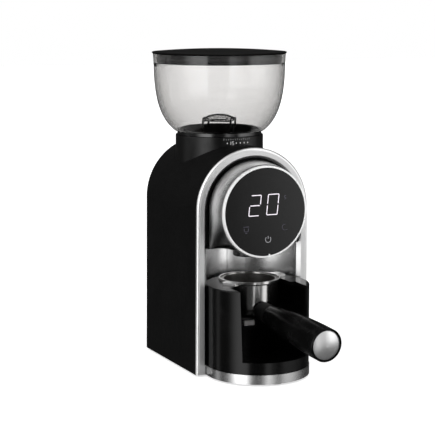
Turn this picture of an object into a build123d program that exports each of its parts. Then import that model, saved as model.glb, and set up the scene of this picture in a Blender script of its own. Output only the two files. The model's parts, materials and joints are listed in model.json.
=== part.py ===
from build123d import *
import os
from math import atan2, cos, degrees, hypot, radians, sin, sqrt

# Burr coffee grinder with a clear bean hopper, a round touch display and a cradle that
# holds a portafilter under the grounds spout.
#
# Frame: millimetres, +Z up, -Y towards the user. The pieces are drawn with y measured from the
# axis of the round base. They are written with the origin on the table, at the middle of the
# object's outline seen from above.

# ---------------------------------------------------------------- driving dimensions
TOTAL_H = 305.0            # table to the top of the lid
LID_R = 66.0
LID_RIM_Z = 301.8         # widest line of the lid, below its crown
BODY_DEPTH = 185.0         # front of the round base to the rear cover
SHOULDER_HW = 58.0         # half width where the arch springs
FOOT_HW = 59.3             # half width at the bottom: the sides splay a little
BASE_R = 49.5              # round base
FOOT_H = 2.2

BACK_Y = BODY_DEPTH - BASE_R
ARCH_Y = 8.9               # front plane of the silver arch frame
AXIS_Y = 85.0              # hopper, burrs and drive shaft
SPRING_Z = 157.0           # centre of the arch
SKIN_Z = 2.0               # lower edge of shell, frame and base ring
WALL = 2.5

FRAME_T = 5.5              # depth of the arch frame
FRAME_LIP = 3.2            # depth of the frame left uncovered by the shell
FRAME_IN_HW = 47.6         # half width of the opening it surrounds
FRAME_BEVEL = 3.3          # bevel round that opening's front edge
COVER_T = 4.0              # rear cover

BAY_R = 51.0               # concave steel wall behind the portafilter
BAY_Y = 5.0
BAY_T = 1.5
CEILING_Z = 122.0
CEILING_T = 2.5

DISPLAY_Z = 157.5
DISPLAY_R = 43.3
DISPLAY_Y = -16.0          # front face of the display bezel
BEZEL_W = 1.9
HEAD_FRONT_Y = -12.4       # where the head meets the display drum
HEAD_HW = 46.2
HEAD_FRONT_R = 44.1

COLLAR_R = 43.0
COLLAR_TOP_Z = 222.0
RING_R = 41.3              # knurl-free ring under the hopper
RING_TOP_Z = 225.2
BOWL_Z = 225.4
BOWL_TOP_Z = 300.2
BOWL_WALL = 2.6
THROAT_R = 34.6
BOWL_R = 64.2
BOWL_FLOOR = 1.5
BOWL_KNEE_Z = 292.0        # the bowl is straight above this and curved below
NECK_R = 37.0
NECK_Z = 216.8
FLANGE_R = 39.4
GUARD_Z = 235.9            # underside of the bean guard's cover
GUARD_HW = 14.5            # half width of its square stand
GUARD_TURN = -35.7         # degrees the stand is turned from facing the user
SKIRT_R = 61.0             # the lid's skirt, inside the bowl

RING_H = 10.8              # top of the silver base ring
CRADLE_R = 49.0
CRADLE_Z = 11.2
CRADLE_TOP_Z = 88.0
CRADLE_WALL = 3.0
SLOT_HW = (33.2, 34.9)     # half width of the cradle's slot, at the sill and at the top
NOTCH_R = 30.0             # fork in the cradle's deck
SILL_Z = 22.0

PF_Y = 17.5                # portafilter axis
PF_RIM_R = 29.3
PF_TOP_Z = 90.6
PF_BODY_R = 27.0
PF_BOTTOM_Z = 54.0
EAR_Z = (88.3, 90.6)
EAR_ANGLES = (-57.0, 98.0)  # where the ears stand, in degrees from the handle towards +X

# the handle's axis leaves the cup low on its side and drops a little towards the user
HANDLE_TIP_Y = -135.5
HANDLE_START_Y = PF_Y - 25
HANDLE_START_Z = 63.0
HANDLE_END_Z = 56.6
HANDLE_DROP = degrees(atan2(HANDLE_START_Z - HANDLE_END_Z, HANDLE_START_Y - HANDLE_TIP_Y))
HANDLE_LEN = hypot(HANDLE_START_Z - HANDLE_END_Z, HANDLE_START_Y - HANDLE_TIP_Y)
GRIP_START = 21.2          # along the axis, where the grip meets the ferrule
GRIP_R = 15.2
RING_LEN = 4.6
GRIP_LEN = HANDLE_LEN - GRIP_START - RING_LEN - 1.6
CAP_R = 13.2

SPOUT_Y = 25.5
SPOUT_Z = 110.5
SPOUT_R = 12.8

# gear train from the motor up to the burr: two stages of 12 on 48 teeth
SMALL_TEETH = 12
LARGE_TEETH = 48
MODULE_FAST = 0.6
MODULE_SLOW = 0.8
IDLER_ANGLE = 146.4        # direction from the burr axis to the idler axle, degrees
MOTOR_ANGLE = 27.0         # direction from the idler axle to the motor axis, degrees
FAST_CENTRES = MODULE_FAST * (SMALL_TEETH + LARGE_TEETH) / 2
SLOW_CENTRES = MODULE_SLOW * (SMALL_TEETH + LARGE_TEETH) / 2
IDLER_X = SLOW_CENTRES * cos(radians(IDLER_ANGLE))
IDLER_Y = AXIS_Y + SLOW_CENTRES * sin(radians(IDLER_ANGLE))
MOTOR_X = IDLER_X + FAST_CENTRES * cos(radians(MOTOR_ANGLE))
MOTOR_Y = IDLER_Y + FAST_CENTRES * sin(radians(MOTOR_ANGLE))
MOTOR_R = 22.0
MOTOR_Z = 84.0
GEARBOX_Z = 146.0
GEARBOX_TOP_Z = 175.0
CHAMBER_Z = 180.0          # floor of the grinding chamber
CHAMBER_R = 40.0
SHAFT_R = 4.0
RUN_GAP = 0.05             # radial clearance of a running fit
BEARING_R = 8.0
BEARING_H = 5.0
IDLER_R = 2.0
MOTOR_SHAFT_R = 1.5
SLOW_GEAR_Z = (164.0, 169.5)
FAST_GEAR_Z = (155.0, 160.0)
GEARBOX_X = (-42.0, 30.0)
GEARBOX_Y = (60.0, 130.0)
GEARBOX_BOLTS = [(-38, 64), (26, 64), (-38, 126), (26, 126)]
CARRIER_SCREW_ANGLES = (90, 210, 330)
CARRIER_SCREW_AT = 31.0    # radius the carrier's screws stand on

# grinding set: heights above the table
BURR_LOW_Z = 192.0
CARRIER_Z = 198.0
UPPER_BURR_TOP_Z = 205.7
FUNNEL_Z = 206.2           # underside of the adjusting ring
SHAFT_TOP_Z = 206.5        # shoulder the lower burr is clamped to
SOCKET_Z = 216.4           # seat of the hopper's neck in the ring
SOCKET_R = 37.3

# base, screws and electrics
BASE_TOP_Z = FOOT_H + 2.5
FEET = [(0, -36), (-43, 30), (43, 30), (-43, 118), (43, 118)]
SCREW_R = 3.0
BASE_SCREWS = [(-28, -20), (28, -20), (-30, 64), (30, 64), (-50, 74), (50, 74)]
GLAND_Z = 18.0
GLAND_R = 8.0
COVER_SCREW_R = 3.2
COVER_SCREWS = [(-46, 14), (46, 14), (-44, 160), (44, 160)]
BOARD_X = 38.0
PLUNGER_X = 13.0           # switch tab behind the cradle
PLUNGER_Z = 39.0
PLUNGER_W = 11.5
PLUNGER_H = 5.0
PLUNGER_GAP = 0.5

parts = {}


# ---------------------------------------------------------------- shared shapes
def along_y(y):
    """Plane that takes a sketch's x, y to x, z at that y."""
    return Plane(origin=(0, y, 0), x_dir=(1, 0, 0), z_dir=(0, -1, 0))


def solid_along_y(face, y_from, y_to):
    """A sketch of (x, z) points, extruded from y_from to y_to."""
    return extrude(along_y(max(y_from, y_to)) * face, abs(y_to - y_from))


def arch_face(spring_hw, foot_hw, bottom_z, centre_z=SPRING_Z):
    """Arch outline: a half circle standing on two legs that may splay outwards."""
    right_foot, left_foot = (foot_hw, bottom_z), (-foot_hw, bottom_z)
    right, left = (spring_hw, centre_z), (-spring_hw, centre_z)
    outline = Line(left_foot, right_foot) + Line(right_foot, right)
    outline += ThreePointArc(right, (0, centre_z + spring_hw), left) + Line(left, left_foot)
    return make_face(outline)


def upright(radius, z_from, z_to, x=0.0, y=0.0):
    """A vertical cylinder."""
    return Pos(x, y, (z_from + z_to) / 2) * Cylinder(radius, z_to - z_from)


def tube(outer, inner, z_from, z_to, x=0.0, y=0.0):
    return upright(outer, z_from, z_to, x, y) - upright(inner, z_from - 1, z_to + 1, x, y)


def block(x_range, y_range, z_range):
    size = [high - low for low, high in (x_range, y_range, z_range)]
    centre = [(low + high) / 2 for low, high in (x_range, y_range, z_range)]
    return Pos(*centre) * Box(*size)


def turned(points, x=0.0, y=0.0):
    """A closed (radius, z) outline turned about a vertical axis."""
    section = make_face(Plane.XZ * Polyline(*points, close=True))
    return Pos(x, y, 0) * revolve(section, Axis.Z)


def polar(radius, angle, x=0.0, y=0.0):
    return x + radius * cos(radians(angle)), y + radius * sin(radians(angle))


def base_outline(radius, rear_y):
    """Plan of the base: a half disc in front, straight sides back to rear_y."""
    front = Circle(radius) & Pos(0, -radius / 2) * Rectangle(2 * radius, radius)
    return front + Pos(0, rear_y / 2) * Rectangle(2 * radius, rear_y)


def screws(places, head_r, head_h, shank_r, shank_h, z_head):
    """Countersunk-head screws pointing up, heads resting at z_head."""
    group = []
    for x, y in places:
        screw = upright(head_r, z_head, z_head + head_h, x, y)
        screw += upright(shank_r, z_head + head_h, z_head + head_h + shank_h, x, y)
        slot = block((x - head_r, x + head_r), (y - 0.3, y + 0.3), (z_head - 1, z_head + 0.5))
        group.append(screw - slot)
    return Part() + group


def spur_gear(teeth, module, z_from, z_to, bore_r, x, y, tooth_angle):
    """A spur gear with one tooth centred on tooth_angle."""
    pitch_r = module * teeth / 2
    root_r, tip_r = pitch_r - 1.2 * module, pitch_r + 0.85 * module
    step = 360 / teeth
    outline = []
    for tooth in range(teeth):
        middle = tooth_angle + tooth * step
        for radius, share in ((root_r, -0.30), (tip_r, -0.11), (tip_r, 0.11), (root_r, 0.30)):
            outline.append(polar(radius, middle + share * step))
    face = make_face(Polyline(*outline, close=True)) - Circle(bore_r)
    return Pos(x, y, z_from) * extrude(face, z_to - z_from)


# ---------------------------------------------------------------- casing
def make_body_shell():
    front, back = ARCH_Y + FRAME_LIP, BACK_Y - COVER_T
    shell = solid_along_y(arch_face(SHOULDER_HW, FOOT_HW, SKIN_Z), front, back)
    inner_hw, inner_foot = SHOULDER_HW - WALL, FOOT_HW - WALL
    shell -= solid_along_y(arch_face(inner_hw, inner_foot, SKIN_Z - 5), front - 1, back + 1)
    return shell - upright(COLLAR_R + 0.1, SPRING_Z + 20, TOTAL_H, 0, AXIS_Y)


def make_rear_cover():
    cover = solid_along_y(arch_face(SHOULDER_HW, FOOT_HW, SKIN_Z), BACK_Y - COVER_T, BACK_Y)
    rim = cover.faces().sort_by(Axis.Y)[-1].edges()
    cover = fillet(rim, 3.2)
    for row in range(9):
        slot_z = 36 + row * 7
        for side in (-1, 1):
            slot = Pos(side * 19, BACK_Y, slot_z) * Box(26, 3 * COVER_T, 2.6)
            cover -= slot
    cover -= Pos(0, BACK_Y - COVER_T / 2, GLAND_Z) * Rot(90, 0, 0) * Cylinder(GLAND_R, 3 * COVER_T)
    for x, z in COVER_SCREWS:
        cover -= Pos(x, BACK_Y, z) * Rot(90, 0, 0) * Cylinder(COVER_SCREW_R + 0.2, 2 * COVER_T + 2)
    return cover


def make_cord_gland():
    """Rubber inlet bush for the mains lead, flush with the rear cover."""
    hole_r, flange_t = 3.6, 1.5
    bush = Pos(0, BACK_Y - COVER_T / 2 - flange_t, GLAND_Z) * Rot(90, 0, 0)
    bush = bush * Cylinder(GLAND_R - 0.1, COVER_T + 2 * flange_t - 1)
    flange = Pos(0, BACK_Y - COVER_T - flange_t / 2, GLAND_Z) * Rot(90, 0, 0)
    bush += flange * Cylinder(GLAND_R + 2.5, flange_t)
    return bush - Pos(0, BACK_Y, GLAND_Z) * Rot(90, 0, 0) * Cylinder(hole_r, 40)


def make_cover_screws():
    group = []
    for x, z in COVER_SCREWS:
        head = Pos(x, BACK_Y - COVER_T / 2, z) * Rot(90, 0, 0) * Cylinder(COVER_SCREW_R, COVER_T)
        head -= Pos(x, BACK_Y, z) * Box(4.5, 2, 0.9)
        head -= Pos(x, BACK_Y, z) * Box(0.9, 2, 4.5)
        shank = Pos(x, BACK_Y - COVER_T - 4, z) * Rot(90, 0, 0) * Cylinder(1.5, 8)
        group.append(head + shank)
    return Part() + group


def make_front_frame():
    """Silver arch that finishes the shell's front edge: rounded outside, bevelled inside."""
    lip, back, gap = ARCH_Y + FRAME_LIP, ARCH_Y + FRAME_T, 0.05
    frame = solid_along_y(arch_face(SHOULDER_HW, FOOT_HW, SKIN_Z), ARCH_Y, lip)
    front_face = frame.faces().sort_by(Axis.Y)[0]
    rim = [edge for edge in front_face.edges() if edge.center().Z > SKIN_Z + 1]
    frame = fillet(rim, FRAME_LIP - 0.2)
    inset = WALL + gap
    frame += solid_along_y(arch_face(SHOULDER_HW - inset, FOOT_HW - inset, SKIN_Z), lip, back)
    frame -= solid_along_y(arch_face(FRAME_IN_HW, FRAME_IN_HW, SKIN_Z - 5), ARCH_Y - 1, back + 1)
    wide_hw = FRAME_IN_HW + FRAME_BEVEL
    wide = along_y(ARCH_Y) * arch_face(wide_hw, wide_hw, RING_H + 0.4)
    narrow = along_y(ARCH_Y + FRAME_BEVEL) * arch_face(FRAME_IN_HW, FRAME_IN_HW, RING_H + 0.4)
    return frame - loft([wide, narrow], ruled=True)


def make_frame_trim():
    """Black strip in the groove between the arch frame and the head."""
    outer, inner = FRAME_IN_HW - 0.1, HEAD_HW + 0.15
    front, back = ARCH_Y + 3.0, ARCH_Y + FRAME_T
    bottom = CEILING_Z + CEILING_T + 0.1
    strip = solid_along_y(arch_face(outer, outer, bottom), front, back)
    core = arch_face(inner, inner, bottom - 5, DISPLAY_Z)
    return strip - solid_along_y(core, front - 1, back + 1)


def make_bay_liner():
    """Concave brushed steel wall, with two fine vertical seams and the switch window."""
    z_low, z_high = RING_H, CEILING_Z
    liner = tube(BAY_R + BAY_T, BAY_R, z_low, z_high, 0, BAY_Y)
    reach = BAY_R + BAY_T + 1
    liner -= block((-reach, reach), (BAY_Y - reach, ARCH_Y + FRAME_T), (z_low - 1, z_high + 1))
    for seam_x in (-5.5, 14.0):
        seam_y = BAY_Y + sqrt(BAY_R ** 2 - seam_x ** 2)
        liner -= Pos(seam_x, seam_y, (z_low + z_high) / 2) * Box(0.6, 1.0, z_high - z_low + 2)
    return liner - switch_window(PLUNGER_GAP)


def make_bay_ceiling():
    disc = Pos(0, BAY_Y) * Circle(BAY_R + BAY_T)
    in_frame = Pos(0, ARCH_Y + 0.1 + 40) * Rectangle(2 * (FRAME_IN_HW - 0.2), 80)
    behind_frame = Pos(0, ARCH_Y + FRAME_T + 0.1 + 40) * Rectangle(120, 80)
    plan = (disc & in_frame) + (disc & behind_frame)
    plate = Pos(0, 0, CEILING_Z) * extrude(plan, CEILING_T)
    return plate - upright(SPOUT_R + 0.3, CEILING_Z - 1, CEILING_Z + CEILING_T + 1, 0, SPOUT_Y)


# ---------------------------------------------------------------- head and display
def head_sections(inset, back_y, front_y):
    """Arch at the frame, circle at the display, with matching corners."""
    hw, radius = HEAD_HW - inset, HEAD_FRONT_R - inset
    bottom = CEILING_Z + inset
    drop = DISPLAY_Z - bottom
    corner_x = sqrt(radius ** 2 - drop ** 2)
    back = arch_face(hw, hw, bottom, DISPLAY_Z)
    right, left = (radius, DISPLAY_Z), (-radius, DISPLAY_Z)
    low_right, low_left = (corner_x, bottom), (-corner_x, bottom)
    low_angle = radians(degrees(atan2(drop, corner_x)) / 2)
    mid_x, mid_z = radius * cos(low_angle), DISPLAY_Z - radius * sin(low_angle)
    outline = ThreePointArc(low_left, (0, DISPLAY_Z - radius), low_right)
    outline += ThreePointArc(low_right, (mid_x, mid_z), right)
    outline += ThreePointArc(right, (0, DISPLAY_Z + radius), left)
    outline += ThreePointArc(left, (-mid_x, mid_z), low_left)
    front = make_face(outline)
    return along_y(back_y) * back, along_y(front_y) * front


def make_head_block():
    """Silver head: an arch at the frame that turns into a round drum under the display."""
    rear_y = ARCH_Y + 8.5
    seat = CEILING_Z + CEILING_T + 0.1
    skin = loft(head_sections(0, ARCH_Y, HEAD_FRONT_Y), ruled=True)
    skin += solid_along_y(arch_face(HEAD_HW, HEAD_HW, seat, DISPLAY_Z), ARCH_Y, rear_y)
    hollow = loft(head_sections(WALL, ARCH_Y, HEAD_FRONT_Y + 2), ruled=True)
    hollow_hw = HEAD_HW - WALL
    hollow += solid_along_y(arch_face(hollow_hw, hollow_hw, seat - 6, DISPLAY_Z), ARCH_Y, rear_y + 1)
    window = Pos(0, HEAD_FRONT_Y, DISPLAY_Z) * Rot(90, 0, 0) * Cylinder(DISPLAY_R - 5, 12)
    return skin - hollow - window


def disc_along_y(radius, y_front, y_back, z=DISPLAY_Z):
    return Pos(0, (y_front + y_back) / 2, z) * Rot(90, 0, 0) * Cylinder(radius, y_back - y_front)


def make_display_bezel():
    ring = disc_along_y(DISPLAY_R, DISPLAY_Y, HEAD_FRONT_Y)
    ring = fillet(ring.faces().sort_by(Axis.Y)[0].edges(), 0.6)
    ring -= disc_along_y(DISPLAY_R - BEZEL_W, DISPLAY_Y - 1, DISPLAY_Y + 2.45)
    return ring - disc_along_y(DISPLAY_R - 5, DISPLAY_Y - 1, HEAD_FRONT_Y + 1)


def make_display_glass():
    glass = disc_along_y(DISPLAY_R - BEZEL_W - 0.1, DISPLAY_Y + 0.4, DISPLAY_Y + 2.4)
    return chamfer(glass.faces().sort_by(Axis.Y)[0].edges(), 0.25)


def make_led_display():
    return block((-20, 20), (DISPLAY_Y + 2.6, DISPLAY_Y + 7.4), (DISPLAY_Z - 12, DISPLAY_Z + 20))


def make_display_board():
    board = disc_along_y(DISPLAY_R - 6, DISPLAY_Y + 7.5, DISPLAY_Y + 9.1)
    board += block((-14, 14), (DISPLAY_Y + 9.1, DISPLAY_Y + 13), (DISPLAY_Z - 8, DISPLAY_Z + 6))
    return board + block((-9, 9), (DISPLAY_Y + 9.1, DISPLAY_Y + 15), (DISPLAY_Z - 30, DISPLAY_Z - 22))


# ---------------------------------------------------------------- grounds path
def make_spout():
    seat = CEILING_Z + CEILING_T
    bore_r, flange_r = SPOUT_R - 3.0, SPOUT_R + 3.2
    outline = [
        (bore_r, SPOUT_Z), (SPOUT_R - 1.2, SPOUT_Z), (SPOUT_R - 0.4, SPOUT_Z + 1),
        (SPOUT_R, seat), (flange_r, seat), (flange_r, seat + 2), (bore_r, seat + 2),
    ]
    flanged = turned(outline, 0, SPOUT_Y)
    trim = ARCH_Y + 0.6
    return flanged - block((-30, 30), (trim - 30, trim), (seat - 0.01, seat + 5))


def make_chute():
    """Sloping duct from the chamber's outlet down to the spout."""
    z_low = CEILING_Z + CEILING_T + 2.1
    y_front, y_back = SPOUT_Y - 12, SPOUT_Y + 12
    y_top = AXIS_Y - CHAMBER_R - 0.2
    outer = [
        (y_front, z_low), (y_back, z_low), (y_back, z_low + 22),
        (y_top, CHAMBER_Z + 1), (y_top, CHAMBER_Z + 18), (y_front, z_low + 33),
    ]
    wall = 1.8
    inner = [
        (y_front + wall, z_low - 1), (y_back - wall, z_low - 1), (y_back - wall, z_low + 22.4),
        (y_top + 1, CHAMBER_Z + 3.5), (y_top + 1, CHAMBER_Z + 16.5), (y_front + wall, z_low + 31.5),
    ]
    duct = extrude(make_face(Plane.YZ * Polyline(*outer, close=True)), 12.5, both=True)
    return duct - extrude(make_face(Plane.YZ * Polyline(*inner, close=True)), 12.5 - wall, both=True)


def make_collar():
    """Turret that rises out of the shell and carries the grind scale."""
    inner_r = CHAMBER_R + 0.4
    collar = tube(COLLAR_R, inner_r, CHAMBER_Z + 12, COLLAR_TOP_Z, 0, AXIS_Y)
    top = collar.faces().sort_by(Axis.Z)[-1].edges().sort_by(SortBy.RADIUS)[-1]
    collar = fillet(top, 0.8)
    front = AXIS_Y - COLLAR_R
    return collar - block((-13.5, 13.5), (front - 1, front + 6), (CHAMBER_Z, CHAMBER_Z + 18.5))


def make_chamber_housing():
    """Cup around the burrs, with a bearing boss below and the outlet towards the spout."""
    floor_t = 3.0
    outline = [
        (BEARING_R + 0.02, GEARBOX_TOP_Z), (BEARING_R + 4, GEARBOX_TOP_Z), (BEARING_R + 4, CHAMBER_Z),
        (CHAMBER_R, CHAMBER_Z), (CHAMBER_R, CHAMBER_Z + 25.8), (CHAMBER_R - 2.3, CHAMBER_Z + 25.8),
        (CHAMBER_R - 2.3, CHAMBER_Z + floor_t), (SHAFT_R + 1, CHAMBER_Z + floor_t),
        (SHAFT_R + 1, CHAMBER_Z + 1.5), (BEARING_R + 0.02, CHAMBER_Z + 1.5),
    ]
    housing = turned(outline, 0, AXIS_Y)
    outlet = block((-10.7, 10.7), (AXIS_Y - CHAMBER_R - 1, AXIS_Y - CHAMBER_R + 12),
                   (CHAMBER_Z + floor_t, CHAMBER_Z + 16.5))
    return housing - outlet


# ---------------------------------------------------------------- burrs and grind setting
def make_adjust_ring():
    """Ring turned by the hopper: socket above, bean funnel below."""
    outline = [
        (19, FUNNEL_Z), (SOCKET_R + 0.1, FUNNEL_Z), (SOCKET_R + 0.1, COLLAR_TOP_Z + 0.2),
        (RING_R, COLLAR_TOP_Z + 0.2), (RING_R, RING_TOP_Z), (SOCKET_R, RING_TOP_Z),
        (SOCKET_R, SOCKET_Z), (34.4, SOCKET_Z), (19, FUNNEL_Z + 4.3),
    ]
    return turned(outline, 0, AXIS_Y)


def make_burr_carrier():
    carrier = tube(36.5, 24.1, CARRIER_Z, UPPER_BURR_TOP_Z, 0, AXIS_Y)
    for angle in CARRIER_SCREW_ANGLES:
        x, y = polar(CARRIER_SCREW_AT, angle, 0, AXIS_Y)
        carrier -= upright(1.7, CARRIER_Z - 1, UPPER_BURR_TOP_Z + 1, x, y)
    return carrier


def make_carrier_screws():
    group = []
    for angle in CARRIER_SCREW_ANGLES:
        x, y = polar(CARRIER_SCREW_AT, angle, 0, AXIS_Y)
        head = upright(2.9, CARRIER_Z - 1.8, CARRIER_Z, x, y)
        group.append(head + upright(1.6, CARRIER_Z, UPPER_BURR_TOP_Z - 0.1, x, y))
    return Part() + group


def fluted(burr, radius_low, z_low, radius_high, z_high, flutes, cutter_r):
    """Cuts slanting grooves along a cone's side."""
    length = hypot(z_high - z_low, radius_low - radius_high)
    tilt = degrees(atan2(radius_low - radius_high, z_high - z_low))
    middle_r, middle_z = (radius_low + radius_high) / 2, (z_low + z_high) / 2
    for flute in range(flutes):
        turn = Pos(0, AXIS_Y, 0) * Rot(0, 0, flute * 360 / flutes)
        burr -= turn * Pos(middle_r, 0, middle_z) * Rot(12, -tilt, 0) * Cylinder(cutter_r, length + 8)
    return burr


def make_upper_burr():
    low, high = (21.6, BURR_LOW_Z), (16.8, UPPER_BURR_TOP_Z)
    outline = [low, (24, BURR_LOW_Z), (24, UPPER_BURR_TOP_Z), high]
    return fluted(turned(outline, 0, AXIS_Y), *low, *high, 18, 1.1)


def make_lower_burr():
    low, high = 20.4, 10.0
    outline = [
        (SHAFT_R, BURR_LOW_Z), (low, BURR_LOW_Z), (low, BURR_LOW_Z + 1.5), (high, SHAFT_TOP_Z),
        (SHAFT_R, SHAFT_TOP_Z),
    ]
    cone = turned(outline, 0, AXIS_Y)
    return fluted(cone, low, BURR_LOW_Z + 0.5, high, SHAFT_TOP_Z, 9, 1.8)


def make_burr_nut():
    nut = Pos(0, AXIS_Y, SHAFT_TOP_Z) * extrude(RegularPolygon(6.5, 6), 4.0)
    return nut - upright(2.5, SHAFT_TOP_Z - 5, SHAFT_TOP_Z + 5, 0, AXIS_Y)


def make_impeller():
    """Disc with paddles that sweeps the grounds into the outlet."""
    disc_z = BURR_LOW_Z - 5.5
    wheel = tube(24, SHAFT_R, disc_z, disc_z + 2.5, 0, AXIS_Y)
    wheel += tube(9, SHAFT_R, disc_z, BURR_LOW_Z, 0, AXIS_Y)
    for paddle in range(4):
        turn = Pos(0, AXIS_Y, 0) * Rot(0, 0, 45 + paddle * 90)
        wheel += turn * block((22, 35.5), (-1.2, 1.2), (disc_z - 2.5, disc_z + 2.5))
    return wheel


def make_drive_shaft():
    shaft = upright(SHAFT_R, GEARBOX_Z + 1.5, SHAFT_TOP_Z, 0, AXIS_Y)
    return shaft + upright(2.5, SHAFT_TOP_Z, SHAFT_TOP_Z + 4, 0, AXIS_Y)


# ---------------------------------------------------------------- gearbox and motor
def make_bearing(z_from):
    return tube(BEARING_R, SHAFT_R + RUN_GAP, z_from, z_from + BEARING_H, 0, AXIS_Y)


def make_gearbox_base():
    plate = block(GEARBOX_X, GEARBOX_Y, (GEARBOX_Z, GEARBOX_Z + 4))
    walls = block(GEARBOX_X, GEARBOX_Y, (GEARBOX_Z + 4, GEARBOX_TOP_Z - 3))
    inner_x = (GEARBOX_X[0] + 2, GEARBOX_X[1] - 2)
    inner_y = (GEARBOX_Y[0] + 2, GEARBOX_Y[1] - 2)
    walls -= block(inner_x, inner_y, (GEARBOX_Z, GEARBOX_TOP_Z))
    case = plate + walls
    for x, y in GEARBOX_BOLTS:
        case += upright(4, GEARBOX_Z, GEARBOX_TOP_Z - 3, x, y)
    for x, y in GEARBOX_BOLTS:
        case -= upright(1.5, GEARBOX_TOP_Z - 20, GEARBOX_TOP_Z, x, y)
    case += upright(BEARING_R + 3, GEARBOX_Z, GEARBOX_Z + 7, 0, AXIS_Y)
    case -= upright(BEARING_R + 0.02, GEARBOX_Z + 2, GEARBOX_Z + 9, 0, AXIS_Y)
    case -= upright(SHAFT_R + 1, GEARBOX_Z - 1, GEARBOX_Z + 4, 0, AXIS_Y)
    case -= upright(6.2, GEARBOX_Z - 1, GEARBOX_Z + 5, MOTOR_X, MOTOR_Y)
    return case - upright(IDLER_R + 0.02, GEARBOX_Z + 1.5, GEARBOX_Z + 5, IDLER_X, IDLER_Y)


def make_gearbox_cover():
    cover = block(GEARBOX_X, GEARBOX_Y, (GEARBOX_TOP_Z - 3, GEARBOX_TOP_Z))
    cover -= upright(SHAFT_R + 1, GEARBOX_TOP_Z - 5, GEARBOX_TOP_Z + 1, 0, AXIS_Y)
    for x, y in GEARBOX_BOLTS:
        cover -= upright(1.7, GEARBOX_TOP_Z - 5, GEARBOX_TOP_Z + 1, x, y)
    return cover - upright(IDLER_R + 0.02, GEARBOX_TOP_Z - 4, GEARBOX_TOP_Z - 1, IDLER_X, IDLER_Y)


def make_gearbox_screws():
    group = []
    for x, y in GEARBOX_BOLTS:
        shank = upright(1.45, GEARBOX_TOP_Z - 12, GEARBOX_TOP_Z, x, y)
        head = upright(2.9, GEARBOX_TOP_Z, GEARBOX_TOP_Z + 2, x, y)
        group.append(shank + head - upright(1.2, GEARBOX_TOP_Z + 1, GEARBOX_TOP_Z + 3, x, y))
    return Part() + group


def make_output_gear():
    return spur_gear(LARGE_TEETH, MODULE_SLOW, *SLOW_GEAR_Z, SHAFT_R, 0, AXIS_Y, IDLER_ANGLE)


def make_idler_gear():
    """Compound gear: the large one meshes with the motor pinion, the small one with the output."""
    slow_phase = IDLER_ANGLE + 180 + 180 / SMALL_TEETH
    bore = IDLER_R + RUN_GAP
    low, high = SLOW_GEAR_Z[0] - 0.5, SLOW_GEAR_Z[1] + 0.5
    small = spur_gear(SMALL_TEETH, MODULE_SLOW, low, high, bore, IDLER_X, IDLER_Y, slow_phase)
    large = spur_gear(LARGE_TEETH, MODULE_FAST, *FAST_GEAR_Z, bore, IDLER_X, IDLER_Y, MOTOR_ANGLE)
    hub = tube(3.6, bore, FAST_GEAR_Z[1], low, IDLER_X, IDLER_Y)
    return small + large + hub


def make_idler_axle():
    return upright(IDLER_R, GEARBOX_Z + 1.6, GEARBOX_TOP_Z - 1.1, IDLER_X, IDLER_Y)


def make_motor_pinion():
    phase = MOTOR_ANGLE + 180 + 180 / SMALL_TEETH
    low, high = FAST_GEAR_Z[0] - 0.5, FAST_GEAR_Z[1] + 0.5
    return spur_gear(SMALL_TEETH, MODULE_FAST, low, high, MOTOR_SHAFT_R, MOTOR_X, MOTOR_Y, phase)


def make_motor_shaft():
    return upright(MOTOR_SHAFT_R, MOTOR_Z - 6, FAST_GEAR_Z[1] + 1, MOTOR_X, MOTOR_Y)


def make_motor_fan():
    """Cooling fan on the motor's tail."""
    low, high = MOTOR_Z - 6, MOTOR_Z - 1.5
    fan = tube(4.5, MOTOR_SHAFT_R, low, high, MOTOR_X, MOTOR_Y)
    for blade in range(7):
        turn = Pos(MOTOR_X, MOTOR_Y, (low + high) / 2) * Rot(0, 0, blade * 360 / 7)
        fan += turn * Pos(10.5, 0, 0) * Rot(35, 0, 0) * Box(14, 0.9, 5)
    return fan


def make_motor_can():
    top = GEARBOX_Z
    can = upright(MOTOR_R, MOTOR_Z, top - 3, MOTOR_X, MOTOR_Y)
    can = chamfer(can.edges().filter_by(GeomType.CIRCLE), 1.2)
    can += upright(6, top - 3, top + 2, MOTOR_X, MOTOR_Y)
    can += tube(10, 6, top - 3, top, MOTOR_X, MOTOR_Y)
    return can - upright(MOTOR_SHAFT_R + RUN_GAP, MOTOR_Z - 1, top + 3, MOTOR_X, MOTOR_Y)


# ---------------------------------------------------------------- electrics
def make_main_board():
    board = block((BOARD_X, BOARD_X + 1.6), (66, 124), (26, 116))
    for y in (70, 120):
        for z in (30, 112):
            board -= Pos(BOARD_X, y, z) * Rot(0, 90, 0) * Cylinder(1.6, 10)
    return board


def make_board_parts():
    """Capacitors, relay, terminal block and heat sink on the inner side of the main board."""
    group = []
    for y, z, radius in ((80, 44, 5), (80, 60, 5), (96, 48, 4)):
        group.append(Pos(BOARD_X - 8, y, z) * Rot(0, 90, 0) * Cylinder(radius, 16))
    group.append(block((BOARD_X - 15, BOARD_X), (104, 119), (62, 81)))
    group.append(block((BOARD_X - 9, BOARD_X), (74, 116), (30, 38)))
    sink = block((BOARD_X - 12, BOARD_X), (72, 92), (84, 108))
    for fin in range(4):
        sink -= block((BOARD_X - 13, BOARD_X - 3), (74.5 + fin * 4.4, 77 + fin * 4.4), (80, 110))
    group.append(sink)
    return Part() + group


def make_power_module():
    """Switched supply in its own plastic box on the base plate."""
    case = block((-44, -8), (84, 122), (BASE_TOP_Z, BASE_TOP_Z + 26))
    return fillet(case.edges().filter_by(Axis.Z), 2)


def switch_window(gap):
    """Space swept by the switch plunger, with a gap all round."""
    half_w, half_h = PLUNGER_W / 2 + gap, PLUNGER_H / 2 + gap
    return block((PLUNGER_X - half_w, PLUNGER_X + half_w), (35, 64),
                 (PLUNGER_Z - half_h, PLUNGER_Z + half_h))


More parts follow.
